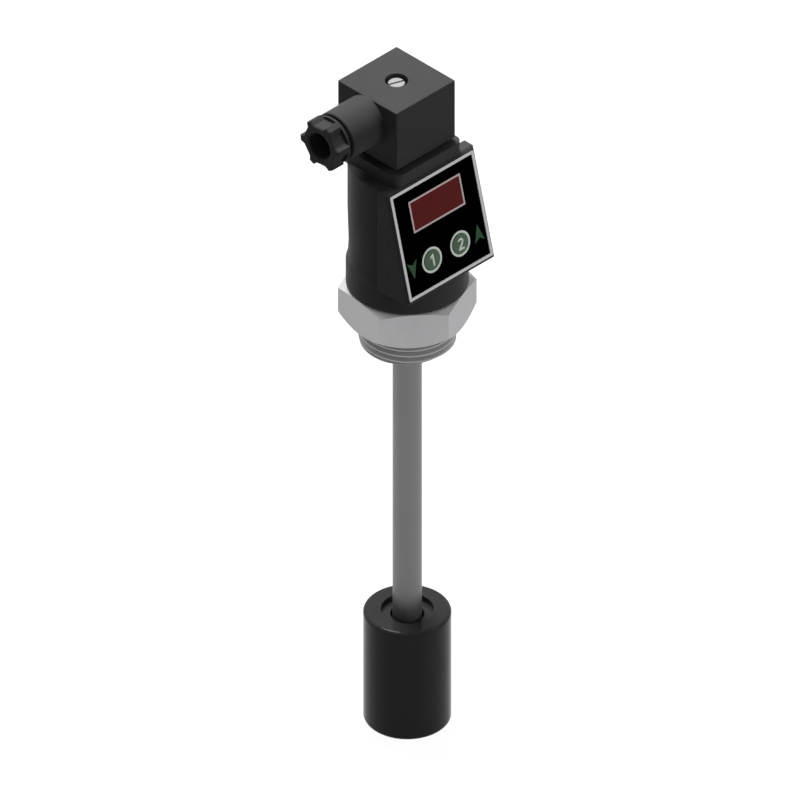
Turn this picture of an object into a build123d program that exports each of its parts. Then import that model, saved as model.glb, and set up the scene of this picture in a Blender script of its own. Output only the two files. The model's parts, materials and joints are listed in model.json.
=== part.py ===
from build123d import *
from math import cos, radians, sin, tan
import os

# Float level switch. A hexagon nipple with a pipe thread carries a closed stem, and a float
# with a ring magnet slides on that stem past a chain of reed switches. On top a display head
# turns on a spigot and carries the square connector with its cable gland.
# The origin lies on the stem's axis at the sealing face under the hexagon, with +Z up.
# The display looks along -Y and the cable leaves along -X. All sizes are millimetres.

os.makedirs("parts", exist_ok=True)

# Clearances
face_gap = 0.3          # between parts that move past each other face to face
shaft_gap = 0.05        # radial, for a shaft in its bearing
push_gap = 0.05         # per side, for a piece pushed into its seat
loose_gap = 0.1         # per side, for a piece dropped into a pocket
screw_gap = 0.2         # radial, for a screw through a plain hole
thread_gap = 0.03       # radial, between two threads drawn as plain cylinders

# Hexagon nipple
hex_across_flats = 41.0
hex_height = 13.8
hex_turn = 21.4         # degrees from +X to the first corner
hex_bevel_drop = 1.2    # how far the top bevel falls away at a corner
hex_bevel_rise = 3.0    # how far the lower bevel has risen at a corner
hex_bevel_inset = 0.3   # from the flats in to the bevel's circle
thread_diameter = 33.25
thread_length = 10.0
thread_end_bevel = 0.5
wire_hole_diameter = 7.0

# Stem
stem_diameter = 10.0
stem_wall = 1.0
stem_seat_height = 10.8 # top of the stem above the sealing face
plug_flange = 1.5
plug_edge_bevel = 0.5
plug_length = 6.0

# Float
float_diameter = 30.0
float_length = 44.5
float_bottom_depth = 166.8
float_bore = 11.6
float_foot_radius = 1.5
float_top_radius = 1.2
float_recess_diameter = 18.0
float_recess_depth = 2.0
magnet_bore = 15.0
magnet_diameter = 22.0
magnet_length = 10.0

# Float stop at the stem's foot
stop_washer_diameter = 16.0
stop_washer_thickness = 1.0
stop_washer_bevel = 0.2
stop_ring_width = 2.0
stop_ring_thickness = 1.0
stop_groove_depth = 0.4
stop_land = 2.5         # stem left below the groove
ring_opening = 4.0      # gap in each snap ring

# Reed chain in the stem
reed_board_width = 6.4
reed_board_thickness = 0.8
reed_board_top = 7.8
reed_diameter = 2.0
reed_glass_length = 9.0
reed_lead_diameter = 0.5
reed_lead_length = 1.2
reed_pitch = 12.0
resistor_length = 2.0
resistor_width = 1.25
resistor_height = 0.5

# Swivel between nipple and head
spigot_diameter = 22.0
swivel_floor = 6.0      # thickness of the housing's floor round the spigot
seal_depth = 1.35
seal_width = 2.2
seal_corner = 0.5
seal_height = 2.0       # groove's foot above the top of the hexagon
snap_ring_thickness = 1.2
snap_ring_width = 2.9
snap_groove_depth = 0.5
snap_ring_gap = 0.15
spigot_end = 1.5        # spigot left above the snap ring
swivel_half_range = 135.0
stop_pin_diameter = 2.4
stop_pin_radius = 15.5
stop_pin_reach = 1.7
stop_slot_depth = 2.2

# Housing
base_diameter = 41.8
base_height = 9.2
base_foot_bevel = 0.5
flare_height = 4.0
flare_hollow = 0.2      # how far the flare's curve lies inside a straight cone
flare_top_diameter = 40.2
waist_diameter = 39.8   # narrowest place, from where the body widens again
waist_rise = 4.0        # above the flare
waist_length = 14.5
body_diameter = 40.6
body_rim_bevel = 0.6
housing_wall = 2.0
plinth_width = 32.0
plinth_corner = 3.0
plinth_height = 4.7     # above the top of the display box
skirt_drop = 8.0
skirt_taper = 38.0

# Display box and its front cover
box_rear = 6.5          # in front of the stem's axis
cover_joint = 9.9       # in front of the stem's axis
box_bottom = 23.8
box_top = 64.9
opening_rim = 4.4       # from the box's side in to its opening
panel_tilt = 14.0       # degrees, top leaning back
cover_top_depth = 1.35
cover_wall = 1.8
cover_front_wall = 2.0
cover_bevel = 0.7
lip_depth = 1.5
lip_wall = 1.2

# What the front carries
label_recess = 0.6      # seat of the frame and the plate in the cover's front
frame_size = 39.9
frame_rise = 0.2        # above the middle of the face
frame_border = 1.1
frame_thickness = 0.8
frame_corner = 0.5
faceplate_thickness = 0.4
window_width = 24.6
window_height = 11.8
window_rise = 8.9       # above the middle of the face
window_border = 0.65
window_recess = 0.15
window_flange = 0.8
window_flange_reach = 0.8
window_flange_width = 20.0
key_spacing = 13.5
key_fall = 9.5          # below the middle of the face
key_diameter = 7.2
key_ring_diameter = 9.2
key_hole_diameter = 7.5
key_proud = 0.4
key_edge_radius = 0.3
key_travel = 0.5
key_flange_diameter = 9.4
key_flange_thickness = 0.8
key_stem_diameter = 3.0
key_stem_length = 0.5
key_seat_gap = 0.1

# Circuit boards
display_board_side_gap = 0.25
display_board_height = 31.0
display_board_depth = 7.0   # behind the cover's front face
display_board_thickness = 1.2
digit_block_width = 21.0
digit_block_height = 9.6
digit_block_depth = 3.0     # its front behind the cover's front face
switch_size = 6.0
switch_height = 2.0
switch_button_diameter = 3.0
post_diameter = 3.4
post_side_inset = 1.4   # from the display board's side to a post's middle
post_end_inset = 2.5
board_screw_diameter = 1.6
board_screw_head = 3.0
board_screw_head_height = 1.3
board_screw_length = 4.5
main_board_width = 30.0
main_board_foot = 23.8
main_board_headroom = 1.8   # below the flat contacts
main_board_back = 5.0       # its front face behind the stem's axis
main_board_thickness = 1.6
rail_width = 5.0
rail_bite = 1.5
chip_size = 9.0
chip_height = 1.6
chip_fall = 4.5         # below the middle of the main board
capacitor_diameter = 6.3
capacitor_length = 7.0
capacitor_across = 5.0  # towards the cable's side
capacitor_fall = 12.0
relay_width = 10.0
relay_height = 12.0
relay_depth = 5.0
relay_across = 2.5      # away from the cable's side
relay_rise = 3.0
header_width = 12.0
header_height = 2.5
header_depth = 6.0
header_rise = 12.0

# Plug base on the plinth and its flat contacts
socket_back = 5.15      # connector's centre behind the stem's axis
base_flange_width = 24.2
base_flange_thickness = 3.0
base_block_width = 20.8
base_block_length = 6.0 # below the flange
blade_circle_radius = 9.0
blade_width = 6.3
blade_thickness = 0.8
blade_tail = 2.0
blade_reach = 8.0       # above the plinth
earth_extra_reach = 1.0
gasket_width = 26.0
gasket_opening = 21.0
gasket_corner = 1.5
gasket_thickness = 1.4

# Connector socket
socket_width = 28.2
socket_height = 23.4
socket_corner = 0.4
socket_inner_corner = 0.8
socket_top_radius = 0.35
socket_wall = 1.6
socket_roof = 5.5
recess_diameter = 8.0
recess_depth = 3.7
centre_screw_diameter = 3.0
centre_screw_length = 28.0
centre_head_diameter = 5.9
centre_head_height = 2.0
centre_head_bevel = 0.25
centre_slot_width = 0.8
centre_slot_depth = 1.0
centre_slot_turn = -20.0
screw_seal_diameter = 7.6
screw_seal_thickness = 0.8

# Terminal insert
insert_height = 10.8
insert_corner = 0.8
insert_floor = 1.2
contact_width = 7.6
contact_thickness = 3.4
contact_slit_width = 6.5
contact_slit_thickness = 1.0
contact_roof = 2.2
terminal_screw_diameter = 2.4
terminal_screw_length = 2.0
terminal_head_diameter = 4.2
terminal_head_height = 1.2
terminal_slot_width = 0.6
terminal_slot_depth = 0.6

# Cable gland
neck_radius = 9.0
neck_reach = 29.4       # neck's mouth from the connector's centre
gland_thread_radius = 7.6
neck_thread_depth = 9.0
neck_mouth_bevel = 0.4
grommet_radius = 7.0
grommet_bore = 8.0
grommet_length = 6.8
cable_hole_diameter = 10.0
gland_washer_thickness = 0.8
nut_groove = 1.3
nut_collar_radius = 8.7
nut_collar_length = 0.8
nut_length = 5.6
nut_apothem = 7.4
nut_lug_radius = 9.3
nut_lug_tip = 2.2
nut_lug_root = 3.8
nut_lug_turn = 5.0      # degrees from +Y to the first lug
nut_lug_count = 6
nut_shank_length = 6.4
nut_edge_bevel = 0.4
nut_mouth_bevel = 0.5

# Heights and places that follow
head_foot = hex_height + face_gap
floor_top = head_foot + swivel_floor
snap_ring_foot = floor_top + snap_ring_gap
spigot_top = snap_ring_foot + snap_ring_thickness + spigot_end
seal_foot = hex_height + seal_height
stem_radius = stem_diameter / 2
spigot_radius = spigot_diameter / 2
thread_radius = thread_diameter / 2
body_radius = body_diameter / 2
waist_radius = waist_diameter / 2
base_radius = base_diameter / 2
box_width = base_diameter
opening_width = box_width - 2 * opening_rim
plinth_top = box_top + plinth_height
stop_washer_top = -float_bottom_depth + float_recess_depth - face_gap
stop_ring_top = stop_washer_top - stop_washer_thickness
stop_ring_foot = stop_ring_top - stop_ring_thickness
stem_foot = stop_ring_foot - stop_land
stem_tube_foot = stem_foot + plug_flange
plug_top = stem_tube_foot + plug_length
float_foot = -float_bottom_depth
float_top = float_foot + float_length
float_travel = -thread_length - face_gap - float_top
socket_foot = plinth_top + gasket_thickness
socket_top = socket_foot + socket_height
neck_height = socket_top - neck_radius
pocket_floor = plinth_top - base_flange_thickness
base_block_foot = pocket_floor - base_block_length
blade_foot = base_block_foot - blade_tail
main_board_top = blade_foot - main_board_headroom
collar_inner = neck_reach + nut_groove
shank_end = collar_inner - nut_shank_length
washer_inner = shank_end - gland_washer_thickness
grommet_inner = washer_inner - grommet_length
insert_top = socket_foot + insert_height
front_slope = tan(radians(panel_tilt))
face_top_y = -(cover_joint + cover_top_depth)
face_bottom_y = face_top_y - (box_top - box_bottom) * front_slope
box_middle = (box_bottom + box_top) / 2
lip_outside = opening_width - 2 * push_gap
lip_inside = lip_outside - 2 * lip_wall
display_board_width = lip_inside - 2 * display_board_side_gap
post_across = display_board_width - 2 * post_side_inset
post_up_and_down = display_board_height - 2 * post_end_inset

# Planes: the cover's front face, the connector's foot and the cable's axis
face_normal = (0, -cos(radians(panel_tilt)), sin(radians(panel_tilt)))
face = Plane(
    origin=(0, (face_top_y + face_bottom_y) / 2, box_middle),
    x_dir=(1, 0, 0),
    z_dir=face_normal,
)
seat = face.offset(-label_recess)
connector = Plane(origin=(0, socket_back, 0))
cable = Plane(origin=(0, socket_back, neck_height), x_dir=(0, 1, 0), z_dir=(-1, 0, 0))
cable_side = Plane(origin=(0, socket_back, neck_height), x_dir=(-1, 0, 0), z_dir=(0, 1, 0))
cable_axis = Axis((0, socket_back, neck_height), (-1, 0, 0))
key_places = [(-key_spacing / 2, -key_fall), (key_spacing / 2, -key_fall)]

# Hexagon nipple: hexagon bevelled at both ends, threaded shank, bore, and the swivel spigot
# with a seal groove, a snap ring groove and the slot that limits the head's turn
hex_corner_radius = hex_across_flats / 2 / cos(radians(30))
bevel_circle = hex_across_flats / 2 - hex_bevel_inset
slot_half_width = stop_pin_diameter / 2 + face_gap

with BuildPart() as hex_nipple:
    with BuildSketch():
        RegularPolygon(hex_across_flats / 2, 6, major_radius=False, rotation=hex_turn)
    extrude(amount=hex_height)
    with BuildSketch(Plane.XZ):
        Polygon(
            (0, 0),
            (bevel_circle, 0),
            (hex_corner_radius, hex_bevel_rise),
            (hex_corner_radius, hex_height - hex_bevel_drop),
            (bevel_circle, hex_height),
            (0, hex_height),
            align=None,
        )
    revolve(axis=Axis.Z, mode=Mode.INTERSECT)
    with BuildSketch(Plane.XZ):
        Polygon(
            (0, 0),
            (thread_radius, 0),
            (thread_radius, thread_end_bevel - thread_length),
            (thread_radius - thread_end_bevel, -thread_length),
            (0, -thread_length),
            align=None,
        )
    revolve(axis=Axis.Z)
    with BuildSketch(Plane.XY.offset(hex_height)):
        Circle(spigot_radius)
    extrude(amount=spigot_top - hex_height)
    with BuildSketch(Plane.XY.offset(spigot_top)):
        Circle(wire_hole_diameter / 2)
    extrude(amount=stem_seat_height - spigot_top, mode=Mode.SUBTRACT)
    with BuildSketch(Plane.XY.offset(-thread_length)):
        Circle(stem_radius + push_gap)
    extrude(amount=thread_length + stem_seat_height, mode=Mode.SUBTRACT)
    with BuildSketch(Plane.XY.offset(seal_foot)):
        Circle(spigot_radius + seal_depth)
        Circle(spigot_radius - seal_depth, mode=Mode.SUBTRACT)
    extrude(amount=seal_width, mode=Mode.SUBTRACT)
    with BuildSketch(Plane.XY.offset(snap_ring_foot)):
        Circle(spigot_radius + snap_groove_depth)
        Circle(spigot_radius - snap_groove_depth, mode=Mode.SUBTRACT)
    extrude(amount=snap_ring_thickness, mode=Mode.SUBTRACT)
    with BuildSketch(Plane.XY.offset(hex_height)):
        with BuildLine():
            CenterArc((0, 0), stop_pin_radius, -90 - swivel_half_range, 2 * swivel_half_range)
        trace(line_width=2 * slot_half_width)
        with PolarLocations(
            stop_pin_radius,
            2,
            start_angle=-90 - swivel_half_range,
            angular_range=2 * swivel_half_range,
            endpoint=True,
        ):
            Circle(slot_half_width)
    extrude(amount=-stop_slot_depth, mode=Mode.SUBTRACT)
hex_nipple.part.label = "hex_nipple"
export_step(hex_nipple.part, "parts/hex_nipple.step")

# Stem tube, pushed up to the step in the nipple, with the float stop's groove at its foot
with BuildPart() as stem_tube:
    with BuildSketch(Plane.XY.offset(stem_tube_foot)):
        Circle(stem_radius)
        Circle(stem_radius - stem_wall, mode=Mode.SUBTRACT)
    extrude(amount=stem_seat_height - stem_tube_foot)
    with BuildSketch(Plane.XY.offset(stop_ring_foot)):
        Circle(stem_radius + stop_groove_depth)
        Circle(stem_radius - stop_groove_depth, mode=Mode.SUBTRACT)
    extrude(amount=stop_ring_thickness, mode=Mode.SUBTRACT)
stem_tube.part.label = "stem_tube"
export_step(stem_tube.part, "parts/stem_tube.step")

# Plug that closes the foot of the stem
with BuildPart() as stem_end_plug:
    with BuildSketch(Plane.XY.offset(stem_foot)):
        Circle(stem_radius)
    extrude(amount=plug_flange)
    chamfer(edges().sort_by(Axis.Z)[0], plug_edge_bevel)
    with BuildSketch(Plane.XY.offset(stem_tube_foot)):
        Circle(stem_radius - stem_wall - push_gap)
    extrude(amount=plug_length)
stem_end_plug.part.label = "stem_end_plug"
export_step(stem_end_plug.part, "parts/stem_end_plug.step")

# Washer that the float comes down on, inside the recess of its lower end
with BuildPart() as stop_washer:
    with BuildSketch(Plane.XY.offset(stop_ring_top)):
        Circle(stop_washer_diameter / 2)
        Circle(stem_radius + loose_gap, mode=Mode.SUBTRACT)
    extrude(amount=stop_washer_thickness)
    chamfer(edges().group_by(SortBy.LENGTH)[-1], stop_washer_bevel)
stop_washer.part.label = "stop_washer"
export_step(stop_washer.part, "parts/stop_washer.step")

# Snap ring under the washer, open at one side
with BuildPart() as stop_ring:
    with BuildSketch(Plane.XY.offset(stop_ring_foot)):
        Circle(stem_radius - stop_groove_depth + stop_ring_width)
        Circle(stem_radius - stop_groove_depth, mode=Mode.SUBTRACT)
        with Locations((stem_diameter, 0)):
            Rectangle(stem_diameter * 2, ring_opening, mode=Mode.SUBTRACT)
    extrude(amount=stop_ring_thickness)
stop_ring.part.label = "stop_ring"
export_step(stop_ring.part, "parts/stop_ring.step")

# Long narrow board in the stem, standing on the end plug
with BuildPart() as reed_board:
    with BuildSketch(Plane.XZ.offset(-reed_board_thickness / 2)):
        with Locations((0, plug_top)):
            Rectangle(
                reed_board_width,
                reed_board_top - plug_top,
                align=(Align.CENTER, Align.MIN),
            )
    extrude(amount=reed_board_thickness)
reed_board.part.label = "reed_board"
export_step(reed_board.part, "parts/reed_board.step")

# Reed capsules: glass bodies with a lead at each end, one for each step of the float
magnet_foot = float_foot + (float_length - magnet_length) / 2
magnet_middle = magnet_foot + magnet_length / 2
reed_count = int(float_travel / reed_pitch) + 1
reed_heights = [magnet_middle + reed_pitch * step for step in range(reed_count)]
reed_offset = reed_board_thickness / 2 + reed_diameter / 2
reed_half = reed_glass_length / 2

with BuildPart() as reed_switches:
    with BuildSketch(Plane.XZ):
        with BuildLine():
            Polyline(
                (0, -reed_half - reed_lead_length),
                (reed_lead_diameter / 2, -reed_half - reed_lead_length),
                (reed_lead_diameter / 2, -reed_half),
                (reed_diameter / 2, reed_diameter / 2 - reed_half),
                (reed_diameter / 2, reed_half - reed_diameter / 2),
                (reed_lead_diameter / 2, reed_half),
                (reed_lead_diameter / 2, reed_half + reed_lead_length),
                (0, reed_half + reed_lead_length),
                close=True,
            )
        make_face()
    capsule = revolve(axis=Axis.Z, mode=Mode.PRIVATE)
    with Locations([(0, -reed_offset, height) for height in reed_heights]):
        add(capsule)
reed_switches.part.label = "reed_switches"
export_step(reed_switches.part, "parts/reed_switches.step")

# Chain resistors on the other face of the board, one beside each reed
with BuildPart() as chain_resistors:
    with BuildSketch(Plane.XZ.offset(-reed_board_thickness / 2)):
        with Locations([(0, height) for height in reed_heights]):
            Rectangle(resistor_length, resistor_width)
    extrude(amount=-resistor_height)
chain_resistors.part.label = "chain_resistors"
export_step(chain_resistors.part, "parts/chain_resistors.step")

# Float: a cylinder with a through bore, a shallow recess at each end and a closed ring
# cavity for the magnet
with BuildPart() as float_body:
    with BuildSketch(Plane.XY.offset(float_foot)):
        Circle(float_diameter / 2)
    extrude(amount=float_length)
    fillet(edges().group_by(Axis.Z)[0], float_foot_radius)
    fillet(edges().group_by(Axis.Z)[-1], float_top_radius)
    with BuildSketch(Plane.XY.offset(float_foot)):
        Circle(float_bore / 2)
    extrude(amount=float_length, mode=Mode.SUBTRACT)
    with BuildSketch(Plane.XY.offset(float_foot), Plane.XY.offset(float_top - float_recess_depth)):
        Circle(float_recess_diameter / 2)
    extrude(amount=float_recess_depth, mode=Mode.SUBTRACT)
    with BuildSketch(Plane.XY.offset(magnet_foot)):
        Circle(magnet_diameter / 2 + push_gap)
        Circle(magnet_bore / 2 - push_gap, mode=Mode.SUBTRACT)
    extrude(amount=magnet_length + push_gap, mode=Mode.SUBTRACT)
float_body.part.label = "float"
export_step(float_body.part, "parts/float.step")

# Ring magnet moulded into the float
with BuildPart() as float_magnet:
    with BuildSketch(Plane.XY.offset(magnet_foot)):
        Circle(magnet_diameter / 2)
        Circle(magnet_bore / 2, mode=Mode.SUBTRACT)
    extrude(amount=magnet_length)
float_magnet.part.label = "float_magnet"
export_step(float_magnet.part, "parts/float_magnet.step")

# Seal ring in the spigot's lower groove, squeezed flat by the housing's bore
seal_radius = spigot_radius - seal_depth
with BuildPart() as swivel_seal_ring:
    with BuildSketch(Plane.XZ):
        with Locations(((seal_radius + spigot_radius) / 2, seal_foot + seal_width / 2)):
            RectangleRounded(seal_depth, seal_width - loose_gap, seal_corner)
    revolve(axis=Axis.Z)
swivel_seal_ring.part.label = "swivel_seal_ring"
export_step(swivel_seal_ring.part, "parts/swivel_seal_ring.step")

# Snap ring that keeps the head on the spigot
with BuildPart() as swivel_snap_ring:
    with BuildSketch(Plane.XY.offset(snap_ring_foot)):
        Circle(spigot_radius - snap_groove_depth + snap_ring_width)
        Circle(spigot_radius - snap_groove_depth, mode=Mode.SUBTRACT)
        with Locations((spigot_diameter, 0)):
            Rectangle(spigot_diameter * 2, ring_opening, mode=Mode.SUBTRACT)
    extrude(amount=snap_ring_thickness)
swivel_snap_ring.part.label = "swivel_snap_ring"
export_step(swivel_snap_ring.part, "parts/swivel_snap_ring.step")

# Housing: one moulding with a round base ring, a flare up to the round body, the display
# box across its front, the square plinth on top and, inside, rails for the main board
flare_foot = head_foot + base_height
flare_top = flare_foot + flare_height
waist_foot = flare_top + waist_rise
waist_top = waist_foot + waist_length
flare_radius = flare_top_diameter / 2
flare_middle = ((base_radius + flare_radius) / 2 - flare_hollow, (flare_foot + flare_top) / 2)
roof_height = box_top - housing_wall
cavity_radius = body_radius - housing_wall
opening_foot = box_bottom + housing_wall
opening_top = box_top - housing_wall
rail_reach = main_board_width / 2 - rail_bite

with BuildPart() as housing:
    with BuildSketch(Plane.XZ):
        with BuildLine():
            ThreePointArc((base_radius, flare_foot), flare_middle, (flare_radius, flare_top))
            Polyline(
                (flare_radius, flare_top),
                (waist_radius, waist_foot),
                (body_radius, waist_top),
                (body_radius, box_top - body_rim_bevel),
                (body_radius - body_rim_bevel, box_top),
                (0, box_top),
                (0, head_foot),
                (base_radius - base_foot_bevel, head_foot),
                (base_radius, head_foot + base_foot_bevel),
                (base_radius, flare_foot),
            )
        make_face()
    revolve(axis=Axis.Z)
    with BuildSketch(Plane.XZ.offset(cover_joint)):
        with Locations((0, box_bottom)):
            Rectangle(2 * base_diameter, box_top, align=(Align.CENTER, Align.MIN))
    extrude(amount=base_radius, mode=Mode.SUBTRACT)
    with BuildSketch(Plane.XZ.offset(box_rear)):
        with Locations((0, box_middle)):
            Rectangle(box_width, box_top - box_bottom)
    extrude(amount=cover_joint - box_rear)
    with BuildSketch(connector.offset(box_top)):
        RectangleRounded(plinth_width, plinth_width, plinth_corner)
    extrude(amount=plinth_top - box_top)
    with BuildSketch(connector.offset(box_top)):
        RectangleRounded(plinth_width, plinth_width, plinth_corner)
        with Locations((0, -socket_back - cover_joint)):
            Rectangle(box_width, box_width, align=(Align.CENTER, Align.MAX), mode=Mode.SUBTRACT)
    extrude(amount=-skirt_drop, taper=skirt_taper)
    with BuildSketch(Plane.XY.offset(floor_top)):
        Circle(cavity_radius)
    extrude(amount=roof_height - floor_top, mode=Mode.SUBTRACT)
    with BuildSketch(Plane.XZ.offset(cover_joint)):
        with Locations((0, (opening_foot + opening_top) / 2)):
            Rectangle(opening_width, opening_top - opening_foot)
    extrude(amount=-cover_joint, mode=Mode.SUBTRACT)
    with BuildSketch(Plane.XY.offset(head_foot)):
        Circle(spigot_radius + shaft_gap)
    extrude(amount=swivel_floor, mode=Mode.SUBTRACT)
    with BuildSketch(connector.offset(plinth_top)):
        Rectangle(base_flange_width + 2 * loose_gap, base_flange_width + 2 * loose_gap)
    extrude(amount=-base_flange_thickness, mode=Mode.SUBTRACT)
    with BuildSketch(connector.offset(pocket_floor)):
        Rectangle(base_block_width + 2 * loose_gap, base_block_width + 2 * loose_gap)
    extrude(amount=base_block_foot - loose_gap - pocket_floor, mode=Mode.SUBTRACT)
    with BuildSketch(Plane.XY.offset(head_foot)):
        with Locations((0, -stop_pin_radius)):
            Circle(stop_pin_diameter / 2)
    extrude(amount=-stop_pin_reach - face_gap)
    with BuildSketch(Plane.XY.offset(floor_top)):
        with Locations((0, main_board_back + main_board_thickness / 2)):
            Rectangle(2 * body_radius, rail_width)
            Rectangle(2 * rail_reach, rail_width, mode=Mode.SUBTRACT)
        Circle(cavity_radius + housing_wall / 2, mode=Mode.INTERSECT)
    extrude(amount=main_board_top - floor_top)
    with BuildSketch(Plane.XY.offset(main_board_foot)):
        with Locations((0, main_board_back + main_board_thickness / 2)):
            Rectangle(
                main_board_width + 2 * loose_gap, main_board_thickness + 2 * push_gap
            )
    extrude(amount=main_board_top - main_board_foot, mode=Mode.SUBTRACT)
housing.part.label = "housing"
export_step(housing.part, "parts/housing.step")

# Front cover: a hollow wedge with a bevelled sloping face, a lip that enters the housing,
# the display opening, two key holes and four posts for the display board
cavity_foot = box_bottom + cover_wall
inner_set_back = cover_front_wall / cos(radians(panel_tilt))
inner_foot_y = face_bottom_y + (cavity_foot - box_bottom) * front_slope + inner_set_back
inner_meet_z = box_top - (inner_set_back - cover_top_depth) / front_slope
lip_height = opening_top - opening_foot - 2 * push_gap
window_hole_width = window_width - 2 * window_border
window_hole_height = window_height - 2 * window_border
post_length = display_board_depth - cover_front_wall

with BuildPart() as front_cover:
    with BuildSketch(Plane.YZ):
        Polygon(
            (-cover_joint, box_bottom),
            (face_bottom_y, box_bottom),
            (face_top_y, box_top),
            (-cover_joint, box_top),
            align=None,
        )
    extrude(amount=box_width / 2, both=True)
    chamfer(faces().sort_by(Axis((0, 0, 0), face_normal))[-1].edges(), cover_bevel)
    with BuildSketch(Plane.YZ):
        Polygon(
            (-cover_joint, cavity_foot),
            (inner_foot_y, cavity_foot),
            (-cover_joint, inner_meet_z),
            align=None,
        )
    extrude(amount=box_width / 2 - cover_wall, both=True, mode=Mode.SUBTRACT)
    with BuildSketch(Plane.XZ.offset(cover_joint)):
        with Locations((0, (opening_foot + opening_top) / 2)):
            Rectangle(lip_outside, lip_height)
            Rectangle(lip_inside, lip_height - 2 * lip_wall, mode=Mode.SUBTRACT)
    extrude(amount=-lip_depth)
    with BuildSketch(face.offset(-cover_front_wall)):
        with GridLocations(post_across, post_up_and_down, 2, 2):
            Circle(post_diameter / 2)
    extrude(amount=-post_length)
    with BuildSketch(face):
        with Locations((0, frame_rise)):
            RectangleRounded(frame_size + 2 * push_gap, frame_size + 2 * push_gap, frame_corner)
    extrude(amount=-label_recess, mode=Mode.SUBTRACT)
    with BuildSketch(face):
        with Locations((0, window_rise)):
            Rectangle(window_hole_width + 2 * push_gap, window_hole_height + 2 * push_gap)
        with Locations(key_places):
            Circle(key_hole_diameter / 2)
    extrude(amount=-cover_front_wall, mode=Mode.SUBTRACT)
    with BuildSketch(face.offset(-display_board_depth)):
        with GridLocations(post_across, post_up_and_down, 2, 2):
            Circle(board_screw_diameter / 2 + thread_gap)
    extrude(amount=board_screw_length - display_board_thickness + loose_gap, mode=Mode.SUBTRACT)
front_cover.part.label = "front_cover"
export_step(front_cover.part, "parts/front_cover.step")

# Bright frame round the face, let into the cover
frame_inside = frame_size - 2 * frame_border
with BuildPart() as face_frame:
    with BuildSketch(seat):
        with Locations((0, frame_rise)):
            RectangleRounded(frame_size, frame_size, frame_corner)
            Rectangle(frame_inside, frame_inside, mode=Mode.SUBTRACT)
    extrude(amount=frame_thickness)
face_frame.part.label = "face_frame"
export_step(face_frame.part, "parts/face_frame.step")

# Black faceplate inside the frame, cut out for the window and the keys
with BuildPart() as faceplate:
    with BuildSketch(seat):
        with Locations((0, frame_rise)):
            Rectangle(frame_inside - 2 * push_gap, frame_inside - 2 * push_gap)
        with Locations((0, window_rise)):
            Rectangle(window_width + 2 * push_gap, window_height + 2 * push_gap, mode=Mode.SUBTRACT)
        with Locations(key_places):
            Circle(key_ring_diameter / 2 + push_gap, mode=Mode.SUBTRACT)
    extrude(amount=faceplate_thickness)
faceplate.part.label = "faceplate"
export_step(faceplate.part, "parts/faceplate.step")

# Thin frame of the display opening
with BuildPart() as window_frame:
    with BuildSketch(seat):
        with Locations((0, window_rise)):
            Rectangle(window_width, window_height)
            Rectangle(window_hole_width, window_hole_height, mode=Mode.SUBTRACT)
    extrude(amount=label_recess)
window_frame.part.label = "window_frame"
export_step(window_frame.part, "parts/window_frame.step")

# Red window, pushed in from behind until its flanges meet the wall
with BuildPart() as display_window:
    with BuildSketch(face.offset(-window_recess)):
        with Locations((0, window_rise)):
            Rectangle(window_hole_width, window_hole_height)
    extrude(amount=window_recess - cover_front_wall)
    with BuildSketch(face.offset(-cover_front_wall)):
        with Locations((0, window_rise)):
            Rectangle(window_flange_width, window_hole_height + 2 * window_flange_reach)
    extrude(amount=-window_flange)
display_window.part.label = "display_window"
export_step(display_window.part, "parts/display_window.step")

# Light rings round the keys
with BuildPart() as key_rings:
    with BuildSketch(seat):
        with Locations(key_places):
            Circle(key_ring_diameter / 2)
            Circle(key_hole_diameter / 2, mode=Mode.SUBTRACT)
    extrude(amount=label_recess)
key_rings.part.label = "key_rings"
export_step(key_rings.part, "parts/key_rings.step")

# Keys: a disc through the wall with a flange behind it and a short stem over its switch
key_back = cover_front_wall + key_seat_gap
for number, place in enumerate(key_places, start=1):
    with BuildPart() as key:
        with BuildSketch(face.offset(key_proud)):
            with Locations(place):
                Circle(key_diameter / 2)
        extrude(amount=-key_proud - key_back)
        fillet(edges().sort_by(Axis((0, 0, 0), face_normal))[-1], key_edge_radius)
        with BuildSketch(face.offset(-key_back)):
            with Locations(place):
                Circle(key_flange_diameter / 2)
        extrude(amount=-key_flange_thickness)
        with BuildSketch(face.offset(-key_back - key_flange_thickness)):
            with Locations(place):
                Circle(key_stem_diameter / 2)
        extrude(amount=-key_stem_length)
    key.part.label = f"key_{number}"
    export_step(key.part, f"parts/key_{number}.step")

# Display board on the cover's posts
with BuildPart() as display_board:
    with BuildSketch(face.offset(-display_board_depth)):
        Rectangle(display_board_width, display_board_height)
        with GridLocations(post_across, post_up_and_down, 2, 2):
            Circle(board_screw_diameter / 2 + loose_gap, mode=Mode.SUBTRACT)
    extrude(amount=-display_board_thickness)
display_board.part.label = "display_board"
export_step(display_board.part, "parts/display_board.step")

# Digit block behind the window
with BuildPart() as digit_display:
    with BuildSketch(face.offset(-digit_block_depth)):
        with Locations((0, window_rise)):
            Rectangle(digit_block_width, digit_block_height)
    extrude(amount=digit_block_depth - display_board_depth)
digit_display.part.label = "digit_display"
export_step(digit_display.part, "parts/digit_display.step")

# Push switches behind the keys, each with a round button one travel short of its key
switch_button_top = key_back + key_flange_thickness + key_stem_length + key_travel + loose_gap
switch_top = display_board_depth - switch_height
with BuildPart() as key_switches:
    with BuildSketch(face.offset(-display_board_depth)):
        with Locations(key_places):
            Rectangle(switch_size, switch_size)
    extrude(amount=switch_height)
    with BuildSketch(face.offset(-switch_top)):
        with Locations(key_places):
            Circle(switch_button_diameter / 2)
    extrude(amount=switch_top - switch_button_top)
key_switches.part.label = "key_switches"
export_step(key_switches.part, "parts/key_switches.step")

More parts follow.
